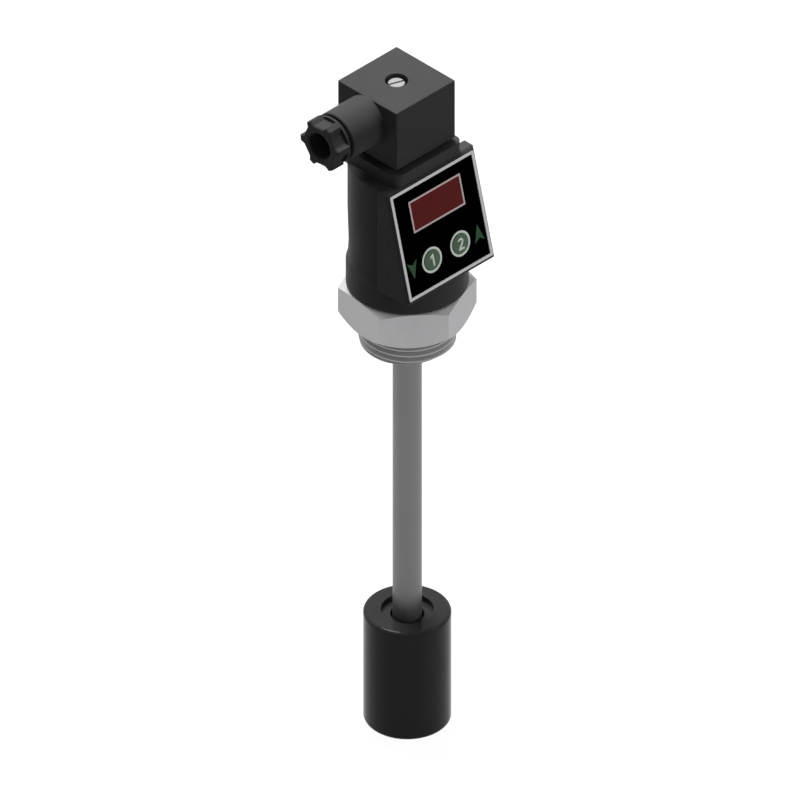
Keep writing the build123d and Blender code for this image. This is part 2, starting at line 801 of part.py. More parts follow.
# Four small screws through the display board into the posts
board_back = face.offset(-display_board_depth - display_board_thickness)
with BuildPart() as board_screws:
    with BuildSketch(board_back):
        with GridLocations(post_across, post_up_and_down, 2, 2):
            Circle(board_screw_head / 2)
    extrude(amount=-board_screw_head_height)
    with BuildSketch(board_back):
        with GridLocations(post_across, post_up_and_down, 2, 2):
            Circle(board_screw_diameter / 2)
    extrude(amount=board_screw_length)
board_screws.part.label = "board_screws"
export_step(board_screws.part, "parts/board_screws.step")

# Main board, standing in the housing's rails
board_front = Plane.XZ.offset(-main_board_back)
board_rear = Plane.XZ.offset(-main_board_back - main_board_thickness)
with BuildPart() as main_board:
    with BuildSketch(board_front):
        with Locations((0, main_board_foot)):
            Rectangle(
                main_board_width,
                main_board_top - main_board_foot,
                align=(Align.CENTER, Align.MIN),
            )
    extrude(amount=-main_board_thickness)
main_board.part.label = "main_board"
export_step(main_board.part, "parts/main_board.step")

# Components: a chip and a plug header on the front, a capacitor and a relay on the rear
board_middle = (main_board_foot + main_board_top) / 2
with BuildPart() as board_components:
    with BuildSketch(board_front):
        with Locations((0, board_middle - chip_fall)):
            Rectangle(chip_size, chip_size)
    extrude(amount=chip_height)
    with BuildSketch(board_front):
        with Locations((0, board_middle + header_rise)):
            Rectangle(header_width, header_height)
    extrude(amount=header_depth)
    with BuildSketch(board_rear):
        with Locations((-capacitor_across, board_middle - capacitor_fall)):
            Circle(capacitor_diameter / 2)
    extrude(amount=-capacitor_length)
    with BuildSketch(board_rear):
        with Locations((relay_across, board_middle + relay_rise)):
            Rectangle(relay_width, relay_height)
    extrude(amount=-relay_depth)
board_components.part.label = "board_components"
export_step(board_components.part, "parts/board_components.step")

# Plug base, seated on the ledge of the plinth's pocket, with the centre screw's thread
with BuildPart() as connector_base:
    with BuildSketch(connector.offset(plinth_top)):
        Rectangle(base_flange_width, base_flange_width)
    extrude(amount=-base_flange_thickness)
    with BuildSketch(connector.offset(pocket_floor)):
        Rectangle(base_block_width, base_block_width)
    extrude(amount=base_block_foot - pocket_floor)
    with BuildSketch(connector.offset(plinth_top)):
        Circle(centre_screw_diameter / 2 + thread_gap)
    extrude(amount=base_block_foot - plinth_top, mode=Mode.SUBTRACT)
    with BuildSketch(connector.offset(plinth_top)):
        with PolarLocations(blade_circle_radius, 4):
            Rectangle(blade_thickness, blade_width)
    extrude(amount=base_block_foot - plinth_top, mode=Mode.SUBTRACT)
connector_base.part.label = "connector_base"
export_step(connector_base.part, "parts/connector_base.step")

# Three flat contacts
with BuildPart() as contact_blades:
    with BuildSketch(connector.offset(blade_foot)):
        with PolarLocations(blade_circle_radius, 3, angular_range=180, endpoint=True):
            Rectangle(blade_thickness, blade_width)
    extrude(amount=plinth_top + blade_reach - blade_foot)
contact_blades.part.label = "contact_blades"
export_step(contact_blades.part, "parts/contact_blades.step")

# Earth contact, a little longer so that it meets first
with BuildPart() as earth_blade:
    with BuildSketch(connector.offset(blade_foot)):
        with Locations((0, -blade_circle_radius)):
            Rectangle(blade_width, blade_thickness)
    extrude(amount=plinth_top + blade_reach + earth_extra_reach - blade_foot)
earth_blade.part.label = "earth_blade"
export_step(earth_blade.part, "parts/earth_blade.step")

# Flat gasket between plinth and connector
with BuildPart() as profile_gasket:
    with BuildSketch(connector.offset(plinth_top)):
        RectangleRounded(gasket_width, gasket_width, gasket_corner)
        Rectangle(gasket_opening, gasket_opening, mode=Mode.SUBTRACT)
    extrude(amount=gasket_thickness)
profile_gasket.part.label = "profile_gasket"
export_step(profile_gasket.part, "parts/profile_gasket.step")

# Connector shell: a square cap, open below, with the gland's neck on one side and a
# recess for the centre screw in its top
socket_inside = socket_width - 2 * socket_wall
neck_bore_end = neck_reach - neck_thread_depth
with BuildPart() as socket_shell:
    with BuildSketch(connector.offset(socket_foot)):
        Rectangle(socket_width, socket_width)
    extrude(amount=socket_height)
    fillet(edges().filter_by(Axis.Z), socket_corner)
    fillet(faces().sort_by(Axis.Z)[-1].edges(), socket_top_radius)
    with BuildSketch(cable):
        Circle(neck_radius)
    extrude(amount=neck_reach)
    chamfer(faces().sort_by(Axis.X)[0].edges(), neck_mouth_bevel)
    with BuildSketch(connector.offset(socket_foot)):
        RectangleRounded(socket_inside, socket_inside, socket_inner_corner)
    extrude(amount=socket_height - socket_roof, mode=Mode.SUBTRACT)
    with BuildSketch(connector.offset(socket_top)):
        Circle(recess_diameter / 2)
    extrude(amount=-recess_depth, mode=Mode.SUBTRACT)
    with BuildSketch(connector.offset(socket_top)):
        Circle(centre_screw_diameter / 2 + screw_gap)
    extrude(amount=-socket_roof, mode=Mode.SUBTRACT)
    with BuildSketch(cable_side):
        Polygon(
            (socket_inside / 2 - socket_wall, 0),
            (neck_reach, 0),
            (neck_reach, gland_thread_radius + thread_gap),
            (neck_bore_end, gland_thread_radius + thread_gap),
            (neck_bore_end, grommet_radius + push_gap),
            (grommet_inner, grommet_radius + push_gap),
            (grommet_inner, cable_hole_diameter / 2),
            (socket_inside / 2 - socket_wall, cable_hole_diameter / 2),
            align=None,
        )
    revolve(axis=cable_axis, mode=Mode.SUBTRACT)
socket_shell.part.label = "socket_shell"
export_step(socket_shell.part, "parts/socket_shell.step")

# Terminal insert inside the shell, with a pocket and a slit for each contact
insert_width = socket_inside - 2 * loose_gap
pocket_foot = socket_foot + insert_floor
with BuildPart() as terminal_insert:
    with BuildSketch(connector.offset(socket_foot)):
        Rectangle(insert_width, insert_width)
    extrude(amount=insert_height)
    chamfer(edges().filter_by(Axis.Z), insert_corner)
    with BuildSketch(connector.offset(socket_foot)):
        Circle(centre_screw_diameter / 2 + screw_gap)
        with PolarLocations(blade_circle_radius, 4):
            Rectangle(contact_slit_thickness, contact_slit_width)
    extrude(amount=insert_height, mode=Mode.SUBTRACT)
    with BuildSketch(connector.offset(pocket_foot)):
        with PolarLocations(blade_circle_radius, 4):
            Rectangle(contact_thickness + 2 * loose_gap, contact_width + 2 * loose_gap)
    extrude(amount=insert_height, mode=Mode.SUBTRACT)
terminal_insert.part.label = "terminal_insert"
export_step(terminal_insert.part, "parts/terminal_insert.step")

# Contact sockets: metal blocks with a slit from below and a screw hole from above
with BuildPart() as contact_sockets:
    with BuildSketch(connector.offset(pocket_foot)):
        with PolarLocations(blade_circle_radius, 4):
            Rectangle(contact_thickness, contact_width)
    extrude(amount=insert_top - pocket_foot)
    with BuildSketch(connector.offset(pocket_foot)):
        with PolarLocations(blade_circle_radius, 4):
            Rectangle(contact_slit_thickness, contact_slit_width)
    extrude(amount=insert_top - contact_roof - pocket_foot, mode=Mode.SUBTRACT)
    with BuildSketch(connector.offset(insert_top)):
        with PolarLocations(blade_circle_radius, 4):
            Circle(terminal_screw_diameter / 2 + thread_gap)
    extrude(amount=-contact_roof, mode=Mode.SUBTRACT)
contact_sockets.part.label = "contact_sockets"
export_step(contact_sockets.part, "parts/contact_sockets.step")

# Slotted screws that clamp the wires
with BuildPart() as terminal_screws:
    with BuildSketch(connector.offset(insert_top)):
        with PolarLocations(blade_circle_radius, 4):
            Circle(terminal_head_diameter / 2)
    extrude(amount=terminal_head_height)
    with BuildSketch(connector.offset(insert_top + terminal_head_height)):
        with PolarLocations(blade_circle_radius, 4):
            Rectangle(terminal_head_diameter, terminal_slot_width)
    extrude(amount=-terminal_slot_depth, mode=Mode.SUBTRACT)
    with BuildSketch(connector.offset(insert_top)):
        with PolarLocations(blade_circle_radius, 4):
            Circle(terminal_screw_diameter / 2)
    extrude(amount=-terminal_screw_length)
terminal_screws.part.label = "terminal_screws"
export_step(terminal_screws.part, "parts/terminal_screws.step")

# Seal under the head of the centre screw
recess_floor = socket_top - recess_depth
with BuildPart() as screw_seal:
    with BuildSketch(connector.offset(recess_floor)):
        Circle(screw_seal_diameter / 2)
        Circle(centre_screw_diameter / 2 + loose_gap, mode=Mode.SUBTRACT)
    extrude(amount=screw_seal_thickness)
screw_seal.part.label = "screw_seal"
export_step(screw_seal.part, "parts/screw_seal.step")

# Centre screw that holds the connector down on its base
centre_head_foot = recess_floor + screw_seal_thickness
with BuildPart() as centre_screw:
    with BuildSketch(connector.offset(centre_head_foot)):
        Circle(centre_head_diameter / 2)
    extrude(amount=centre_head_height)
    chamfer(edges().sort_by(Axis.Z)[-1], centre_head_bevel)
    with BuildSketch(connector.offset(centre_head_foot + centre_head_height)):
        Rectangle(centre_head_diameter * 2, centre_slot_width, rotation=centre_slot_turn)
    extrude(amount=-centre_slot_depth, mode=Mode.SUBTRACT)
    with BuildSketch(connector.offset(centre_head_foot)):
        Circle(centre_screw_diameter / 2)
    extrude(amount=-centre_screw_length)
centre_screw.part.label = "centre_screw"
export_step(centre_screw.part, "parts/centre_screw.step")

# Gland nut: six lugs round a hexagonal core, a collar, and a male thread into the neck
nut_inner = collar_inner + nut_collar_length
nut_outer = nut_inner + nut_length
with BuildPart() as gland_nut:
    with BuildSketch(cable.offset(shank_end)):
        Circle(gland_thread_radius)
    extrude(amount=nut_shank_length)
    with BuildSketch(cable.offset(collar_inner)):
        Circle(nut_collar_radius)
    extrude(amount=nut_collar_length)
    with BuildSketch(cable.offset(nut_inner)):
        RegularPolygon(nut_apothem, 6, major_radius=False, rotation=nut_lug_turn)
        with PolarLocations(0, nut_lug_count, start_angle=nut_lug_turn):
            Polygon(
                (0, -nut_lug_root / 2),
                (nut_apothem, -nut_lug_root / 2),
                (nut_lug_radius, -nut_lug_tip / 2),
                (nut_lug_radius, nut_lug_tip / 2),
                (nut_apothem, nut_lug_root / 2),
                (0, nut_lug_root / 2),
                align=None,
            )
    extrude(amount=nut_length)
    chamfer(faces().sort_by(Axis.X)[0].outer_wire().edges(), nut_edge_bevel)
    with BuildSketch(cable_side):
        Polygon(
            (shank_end, 0),
            (nut_outer, 0),
            (nut_outer, cable_hole_diameter / 2 + nut_mouth_bevel),
            (nut_outer - nut_mouth_bevel, cable_hole_diameter / 2),
            (shank_end, cable_hole_diameter / 2),
            align=None,
        )
    revolve(axis=cable_axis, mode=Mode.SUBTRACT)
gland_nut.part.label = "gland_nut"
export_step(gland_nut.part, "parts/gland_nut.step")

# Slip washer between the nut and the grommet
with BuildPart() as gland_washer:
    with BuildSketch(cable.offset(washer_inner)):
        Circle(gland_thread_radius - screw_gap)
        Circle(cable_hole_diameter / 2, mode=Mode.SUBTRACT)
    extrude(amount=gland_washer_thickness)
gland_washer.part.label = "gland_washer"
export_step(gland_washer.part, "parts/gland_washer.step")

# Rubber grommet that grips the cable
with BuildPart() as cable_grommet:
    with BuildSketch(cable.offset(grommet_inner)):
        Circle(grommet_radius)
        Circle(grommet_bore / 2, mode=Mode.SUBTRACT)
    extrude(amount=grommet_length)
cable_grommet.part.label = "cable_grommet"
export_step(cable_grommet.part, "parts/cable_grommet.step")
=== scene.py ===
# %% [markdown]
# # Dressing a float level switch
#
# The object is a magnetic float level switch: a steel nipple screws into the roof of a tank, a
# stem hangs down from it, and a glossy float slides on the stem. On top sits a black moulded
# head with a sloping display and a plug connector. The model of its pieces is already made and
# packed, at its real size and in metres. This lesson gives every piece its surface, cuts the
# pipe thread, prints the marks on the face, and lights the result like a plain catalogue shot.
#
# The imported pieces are loaded first. They are never moved or reshaped here: a piece whose form
# needs more than the imported one shows is made anew, and the imported one is hidden.

# %% Load the imported pieces
import json
import math

import bmesh
import bpy
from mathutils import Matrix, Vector

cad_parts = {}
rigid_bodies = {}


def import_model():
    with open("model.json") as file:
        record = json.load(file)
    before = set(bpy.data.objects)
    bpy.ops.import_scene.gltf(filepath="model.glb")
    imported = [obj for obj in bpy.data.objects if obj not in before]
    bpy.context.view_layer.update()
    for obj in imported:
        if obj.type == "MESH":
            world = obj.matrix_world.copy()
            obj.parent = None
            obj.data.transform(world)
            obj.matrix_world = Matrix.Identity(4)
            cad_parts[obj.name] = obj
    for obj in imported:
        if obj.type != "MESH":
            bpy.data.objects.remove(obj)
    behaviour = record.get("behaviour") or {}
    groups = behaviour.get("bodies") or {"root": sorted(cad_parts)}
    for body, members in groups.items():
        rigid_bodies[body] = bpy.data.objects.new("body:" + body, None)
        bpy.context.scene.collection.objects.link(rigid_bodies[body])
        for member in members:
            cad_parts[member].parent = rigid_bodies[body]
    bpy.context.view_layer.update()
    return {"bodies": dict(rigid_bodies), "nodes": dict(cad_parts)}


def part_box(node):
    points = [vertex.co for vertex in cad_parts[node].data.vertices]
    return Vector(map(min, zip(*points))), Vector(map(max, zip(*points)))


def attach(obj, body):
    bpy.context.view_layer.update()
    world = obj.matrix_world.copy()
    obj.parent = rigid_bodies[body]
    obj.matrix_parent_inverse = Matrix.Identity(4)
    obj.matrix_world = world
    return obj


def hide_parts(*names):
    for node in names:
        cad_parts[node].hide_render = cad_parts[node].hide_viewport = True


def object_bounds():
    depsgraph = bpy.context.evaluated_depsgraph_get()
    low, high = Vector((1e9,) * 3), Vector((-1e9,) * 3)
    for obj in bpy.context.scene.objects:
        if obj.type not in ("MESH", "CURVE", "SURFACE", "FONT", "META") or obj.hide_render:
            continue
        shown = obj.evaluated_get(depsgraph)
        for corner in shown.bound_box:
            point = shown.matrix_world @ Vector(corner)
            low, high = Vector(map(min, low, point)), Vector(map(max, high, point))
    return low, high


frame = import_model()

print("packed pieces:", len(frame["nodes"]), "in bodies:", ", ".join(frame["bodies"]))

# %% [markdown]
# ## Sizes that the looks need
#
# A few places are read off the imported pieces, so that they follow the model: the foot of the
# whole switch and of the nipple, and the middle of the face plate and of each key. The tilt of
# the sloping face is written here. The few sizes that only the looks need, such as the pitch of
# the pipe thread or the size of a printed arrow, are written where they are first used, as
# millimetres times `MM`, because Blender works in metres.

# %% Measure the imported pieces
MM = 0.001
PANEL_TILT = math.radians(14)

nipple_low, nipple_high = [Vector(corner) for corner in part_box("hex_nipple")]
face_low, face_high = [Vector(corner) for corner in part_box("faceplate")]
switch_low, switch_high = [Vector(corner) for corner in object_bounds()]
reaches = {
    "nipple": (nipple_low, nipple_high),
    "face plate": (face_low, face_high),
    "whole switch": (switch_low, switch_high),
}
for label, (low, high) in reaches.items():
    print(label, "reaches up from", round(low.z / MM, 2), "to", round(high.z / MM, 2), "mm")

panel_up = Vector((0, math.sin(PANEL_TILT), math.cos(PANEL_TILT)))
panel_out = Vector((0, -math.cos(PANEL_TILT), math.sin(PANEL_TILT)))
panel_right = Vector((1, 0, 0))


def front_of(node):
    """The point in the middle of a face piece's front, on the sloping panel."""
    points = [vertex.co for vertex in frame["nodes"][node].data.vertices]
    reach = max(point.dot(panel_out) for point in points)
    rise = [point.dot(panel_up) for point in points]
    across = [point.x for point in points]
    middle_up = (min(rise) + max(rise)) / 2
    middle_across = (min(across) + max(across)) / 2
    return panel_right * middle_across + panel_up * middle_up + panel_out * reach


plate_middle = front_of("faceplate")
print("face plate's middle, mm:", [round(value / MM, 2) for value in plate_middle])

# %% [markdown]
# ## A small language for surfaces
#
# Every surface here is procedural: its colour, gloss and grain come from noise and a little
# arithmetic in the shader. Written node by node that is long and hard to read, so two small
# classes help. The first, `Signal`, wraps the output of one node, and sums, products and powers
# written on it add the Math nodes.

# %% Signals
NOISE_MIDDLE = 0.5


class Signal:
    """An output socket on which arithmetic adds Math nodes."""

    def __init__(self, surface, socket):
        self.surface = surface
        self.socket = socket

    def math(self, operation, *values):
        sockets = dict(enumerate(values))
        return self.surface.node("ShaderNodeMath", {"operation": operation}, sockets)

    def __add__(self, other):
        return self.math("ADD", self, other)

    def __radd__(self, other):
        return self.math("ADD", other, self)

    def __sub__(self, other):
        return self.math("SUBTRACT", self, other)

    def __rsub__(self, other):
        return self.math("SUBTRACT", other, self)

    def __mul__(self, other):
        return self.math("MULTIPLY", self, other)

    def __rmul__(self, other):
        return self.math("MULTIPLY", other, self)

    def __truediv__(self, other):
        return self.math("DIVIDE", self, other)

    def __rtruediv__(self, other):
        return self.math("DIVIDE", other, self)

    def __pow__(self, other):
        return self.math("POWER", self, other)

    def clamped(self):
        return self.math("MINIMUM", self.math("MAXIMUM", self, 0.0), 1.0)

    def smaller(self, other):
        return self.math("MINIMUM", self, other)

    def absolute(self):
        return self.math("ABSOLUTE", self)

    def fraction(self):
        return self.math("FRACT", self)

    def cosine(self):
        return self.math("COSINE", self)

    def sine(self):
        return self.math("SINE", self)

    def swing(self, width):
        """A noise about its middle value, turned to one about zero and spread to a width."""
        return (self - NOISE_MIDDLE) * width

    def parts(self):
        """The x, y and z of a signal that carries a vector."""
        split = self.surface.node("ShaderNodeSeparateXYZ", sockets={0: self}).socket.node
        return [Signal(self.surface, output) for output in split.outputs]


print("signals can add, take away, multiply, divide and raise to a power")

# %% [markdown]
# ## Surfaces
#
# The second class, `Surface`, owns one material and adds any other node in one call: its type, its
# settings, and the values or signals of its sockets. The rest of its methods are the steps that
# every finish here repeats: a noise whose blots have a real size, a colour that wanders between
# a darker and a lighter tone, and a bump of a real depth over softened edges. Colours are mixed by
# a Mix node, because a Math node would turn them grey.

# %% Surfaces
COLOUR_A, COLOUR_B, COLOUR_RESULT = 6, 7, 2
MOTTLE_CONTRAST = 2.5
BEVEL_SAMPLES = 6


class Surface:
    """One material, with its principled shader and an easy way to add nodes."""

    def __init__(self, name, **constants):
        self.material = bpy.data.materials.new(name)
        self.material.use_nodes = True
        self.tree = self.material.node_tree
        self.shader = self.tree.nodes["Principled BSDF"]
        for socket, value in constants.items():
            self.shader.inputs[socket.replace("_", " ")].default_value = value
        self.place = self.node("ShaderNodeTexCoord", out="Object")

    def node(self, kind, settings=None, sockets=None, out=0):
        made = self.tree.nodes.new(kind)
        for name, value in (settings or {}).items():
            setattr(made, name, value)
        for key, value in (sockets or {}).items():
            self.join(value, made.inputs[key])
        return Signal(self, made.outputs[out])

    def join(self, value, socket):
        if isinstance(value, Signal):
            self.tree.links.new(value.socket, socket)
        else:
            socket.default_value = value

    def feed(self, socket, value):
        self.join(value, self.shader.inputs[socket])

    def noise(self, size, detail, place=None):
        """Grey noise whose largest blots are about one size across, in metres."""
        sockets = {"Vector": place or self.place, "Scale": 1 / size, "Detail": detail}
        return self.node("ShaderNodeTexNoise", sockets=sockets)

    def stretched(self, along):
        """Coordinates squeezed along one axis or more, so that noise on them turns to streaks."""
        settings = {"operation": "MULTIPLY"}
        return self.node("ShaderNodeVectorMath", settings, {0: self.place, 1: along})

    def blend(self, amount, first, second):
        """A colour between two, by a signal from 0 to 1."""
        settings = {"data_type": "RGBA", "clamp_factor": True}
        sockets = {"Factor": amount, COLOUR_A: (*first, 1.0), COLOUR_B: (*second, 1.0)}
        return self.node("ShaderNodeMix", settings, sockets, out=COLOUR_RESULT)

    def mottle(self, colour, spread, first, second, share, contrast=MOTTLE_CONTRAST):
        """A colour that wanders between a darker and a lighter tone, by two noises."""
        dark, light = [
            tuple(min(1.0, channel * (1 + side * spread)) for channel in colour)
            for side in (-1, 1)
        ]
        tone = (first * share + second * (1 - share)).swing(contrast) + NOISE_MIDDLE
        self.feed("Base Color", self.blend(tone.clamped(), dark, light))

    def relief(self, height, depth, edge):
        """A bump of a real depth in metres, over edges that are softened by a small radius."""
        softened = self.node(
            "ShaderNodeBevel", {"samples": BEVEL_SAMPLES}, {"Radius": edge}, out="Normal"
        )
        sockets = {"Height": height, "Distance": depth, "Strength": 1.0, "Normal": softened}
        return self.node("ShaderNodeBump", sockets=sockets)


print("surfaces can add noise, mottled colour and relief")

# %% [markdown]
# ## Moulded black plastic
#
# The housing, its front cover, the connector and the gland nut are glass-filled nylon from a
# spark-eroded mould. Close up, such plastic has a fine even grain, a faint cloudiness where the
# melt flowed, and slightly uneven gloss. Its edges are never perfectly sharp, so a small
# softening of the normals catches the light along them. A painted-on texture could do this too,
# but noise in object space has no seams and holds at any distance.

# %% Moulded plastic
CLOUD_SIZE = 12 * MM
ERODED_GRAIN = 0.35 * MM
ERODED_DEPTH = 0.02 * MM
MOULDED_EDGE = 0.25 * MM
NUT_EDGE = 0.2 * MM


def moulded_plastic(name, colour, cloud, rough=0.55, edge=MOULDED_EDGE):
    """Eroded-mould plastic: a colour, how far its clouds change it, gloss and edge radius."""
    surface = Surface(name, IOR=1.5, Specular_IOR_Level=0.05)
    clouds = surface.noise(CLOUD_SIZE, 4)
    grains = surface.noise(ERODED_GRAIN, 2)
    surface.mottle(colour, cloud, clouds, grains, share=0.7)
    surface.feed("Roughness", clouds.swing(0.3) + grains.swing(0.15) + rough)
    surface.feed("Normal", surface.relief(grains, ERODED_DEPTH, edge))
    return surface.material


housing_plastic = moulded_plastic("housing_plastic", (0.086, 0.086, 0.087), 0.10)
cover_plastic = moulded_plastic("cover_plastic", (0.068, 0.075, 0.071), 0.10)
socket_plastic = moulded_plastic("socket_plastic", (0.074, 0.074, 0.074), 0.10)
nut_plastic = moulded_plastic("nut_plastic", (0.068, 0.068, 0.069), 0.12, 0.5, NUT_EDGE)
base_plastic = moulded_plastic("base_plastic", (0.04, 0.04, 0.04), 0.15)
insert_plastic = moulded_plastic("insert_plastic", (0.20, 0.20, 0.20), 0.08)
print("moulded plastics: housing, cover, socket, nut, base, insert")

# %% [markdown]
# ## Turned and drawn steel
#
# The nipple is turned from hexagon bar: its flats keep the fine lengthwise lines of the drawn
# bar, and its cut thread shows rings, as the stop washer does. The stem is a drawn tube with long
# soft lines and a dull, darker grey. Lines are made from noise that is stretched along the axis,
# and rings from noise on the distance to the axis. Real brushed steel also spreads its highlight
# sideways, and the many fine lines in the bump do that without a special shader.

# %% Steel
LINE_WIDTH = 0.12 * MM
SCREW_LINE_WIDTH = 0.2 * MM
LINE_DEPTH = 0.006 * MM
LINE_STRETCH = (1.0, 1.0, 0.02)
STAIN_SIZE = 20 * MM
STEEL_EDGE = 0.2 * MM


def steel(name, colour, rough, streak, rings=False, metal=1.0, line=LINE_WIDTH):
    """Steel with fine lines along the stem's axis, or rings round it."""
    surface = Surface(name, Metallic=metal)
    if rings:
        across, along, _ = surface.place.parts()
        radius = (across * across + along * along) ** 0.5
        place = surface.node("ShaderNodeCombineXYZ", sockets={"X": radius})
    else:
        place = surface.stretched(LINE_STRETCH)
    lines = surface.noise(line, 3, place)
    stains = surface.noise(STAIN_SIZE, 4)
    surface.mottle(colour, streak, lines, stains, share=0.5, contrast=2.2)
    surface.feed("Roughness", lines.swing(0.25) + stains.swing(0.2) + rough)
    surface.feed("Normal", surface.relief(lines, LINE_DEPTH, STEEL_EDGE))
    return surface.material


nipple_steel = steel("nipple_steel", (0.52, 0.517, 0.528), 0.78, 0.04, metal=0.9)
thread_steel = steel("thread_steel", (0.48, 0.48, 0.485), 0.42, 0.06, rings=True, metal=0.5)
stem_steel = steel("stem_steel", (0.24, 0.24, 0.24), 0.42, 0.06, metal=0.5)
washer_steel = steel("washer_steel", (0.45, 0.45, 0.45), 0.35, 0.06, rings=True)
spring_steel = steel("spring_steel", (0.16, 0.16, 0.17), 0.45, 0.1, rings=True)
screw_steel = steel("screw_steel", (0.34, 0.34, 0.34), 0.75, 0.05, False, 0.9, SCREW_LINE_WIDTH)
print("steels: nipple, thread, stem, washer, spring, screw")

# %% [markdown]
# ## The float's black gloss
#
# The float is moulded in black plastic and polished, with a faint waviness that breaks up the
# lamp's reflection. Two noises do this: one broad and shallow for the waviness, one fine for the
# last haze of the polish.

# %% Float gloss
WAVE_SIZE = 8 * MM
WAVE_DEPTH = 0.04 * MM
WAVE_LIGHTENING = 1.5
HAZE_SIZE = 0.6 * MM
FLOAT_EDGE = 0.3 * MM


def polished_black(name, colour, rough):
    """Polished plastic: shallow waves under a thin haze."""
    surface = Surface(name, IOR=1.18)
    waves = surface.noise(WAVE_SIZE, 2)
    haze = surface.noise(HAZE_SIZE, 2)
    lighter = tuple(channel * WAVE_LIGHTENING for channel in colour)
    surface.feed("Base Color", surface.blend(waves, colour, lighter))
    surface.feed("Roughness", haze.swing(0.06) + rough)
    surface.feed("Normal", surface.relief(waves, WAVE_DEPTH, FLOAT_EDGE))
    return surface.material


float_gloss = polished_black("float_gloss", (0.032, 0.032, 0.033), 0.10)
print("float gloss ready")

# %% [markdown]
# ## What the face carries
#
# The plate is a black film. The frame round it, the window's edge and the rings round the keys are
# satin silver, so they are made as metal: they take their lightness from the pale room, as the
# real ones do, and not from a lighter paint. The window is a dark red filter with nothing lit
# behind it, and the keys are green discs. All are thin printed or moulded films with a nearly
# even colour, so only slight mottling, a trace of grain and a hint of dust in the gloss keep
# them from looking like flat paint.

# %% Films and caps
BLOT_SIZE = 4 * MM
FILM_GRAIN = 0.4 * MM
FILM_DEPTH = 0.008 * MM
FILM_EDGE = 0.1 * MM


def film(name, colour, mottle, rough, specular=0.15, metallic=0.0):
    """A thin printed or moulded film: a colour, how far it mottles, and its gloss."""
    surface = Surface(name, IOR=1.48, Metallic=metallic, Specular_IOR_Level=specular)
    blots = surface.noise(BLOT_SIZE, 3)
    grains = surface.noise(FILM_GRAIN, 2)
    surface.mottle(colour, mottle, blots, grains, share=0.6)
    surface.feed("Roughness", blots.swing(0.2) + grains.swing(0.1) + rough)
    surface.feed("Normal", surface.relief(grains, FILM_DEPTH, FILM_EDGE))
    return surface.material


plate_film = film("plate_film", (0.0010, 0.0010, 0.0011), 0.3, 0.5, specular=0.0)
frame_film = film("frame_film", (0.41, 0.415, 0.41), 0.04, 0.5, metallic=0.9)
window_film = film("window_film", (0.270, 0.034, 0.034), 0.06, 0.35, specular=0.05)
window_edge = film("window_edge", (0.40, 0.33, 0.33), 0.05, 0.5, metallic=0.8)
ring_film = film("ring_film", (0.44, 0.49, 0.44), 0.05, 0.5, metallic=0.8)
key_green = film("key_green", (0.230, 0.360, 0.240), 0.08, 0.45, specular=0.1)
arrow_green = film("arrow_green", (0.100, 0.23, 0.120), 0.06, 0.5, specular=0.05)
mark_ink = film("mark_ink", (0.42, 0.47, 0.42), 0.05, 0.5, metallic=0.8)
board_green = film("board_green", (0.02, 0.10, 0.045), 0.15, 0.35, specular=0.4)
component_black = film("component_black", (0.03, 0.03, 0.032), 0.2, 0.45, specular=0.4)
contact_tin = film("contact_tin", (0.62, 0.56, 0.42), 0.08, 0.35, metallic=1.0)
reed_glass = film("reed_glass", (0.30, 0.42, 0.36), 0.1, 0.1, specular=0.5)
magnet_grey = film("magnet_grey", (0.08, 0.08, 0.085), 0.2, 0.6)
print("films and caps: plate, frame, window, rings, keys, marks, boards, contacts")

# %% [markdown]
# ## Rubber
#
# The flat gasket, the grommet in the gland and the small seals are black rubber: dull, very
# dark, with a soft bloom of talc.

# %% Rubber
BLOOM_SIZE = 3 * MM
BLOOM_START = 0.3
BLOOM_LIGHTENING = 2.2
RUBBER_ROUGHNESS = 0.75
RUBBER_GRAIN = 0.3 * MM
RUBBER_DEPTH = 0.02 * MM
RUBBER_EDGE = 0.2 * MM


def seal_rubber(name, colour):
    """Dull rubber with a pale bloom where its noise rises over a start value."""
    surface = Surface(name, IOR=1.5, Specular_IOR_Level=0.1)
    bloom = surface.noise(BLOOM_SIZE, 4)
    grains = surface.noise(RUBBER_GRAIN, 2)
    dusty = tuple(channel * BLOOM_LIGHTENING for channel in colour)
    surface.feed("Base Color", surface.blend((bloom - BLOOM_START).clamped(), colour, dusty))
    surface.feed("Roughness", bloom.swing(0.2) + RUBBER_ROUGHNESS)
    surface.feed("Normal", surface.relief(grains, RUBBER_DEPTH, RUBBER_EDGE))
    return surface.material


gasket_rubber = seal_rubber("gasket_rubber", (0.008, 0.008, 0.008))
grommet_rubber = seal_rubber("grommet_rubber", (0.004, 0.004, 0.004))
print("rubbers ready")

# %% [markdown]
# ## Hand the surfaces out
#
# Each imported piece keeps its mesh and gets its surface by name. Anything that isn't in the list
# would keep its plain packed colour, so the cell counts and names whatever it missed.

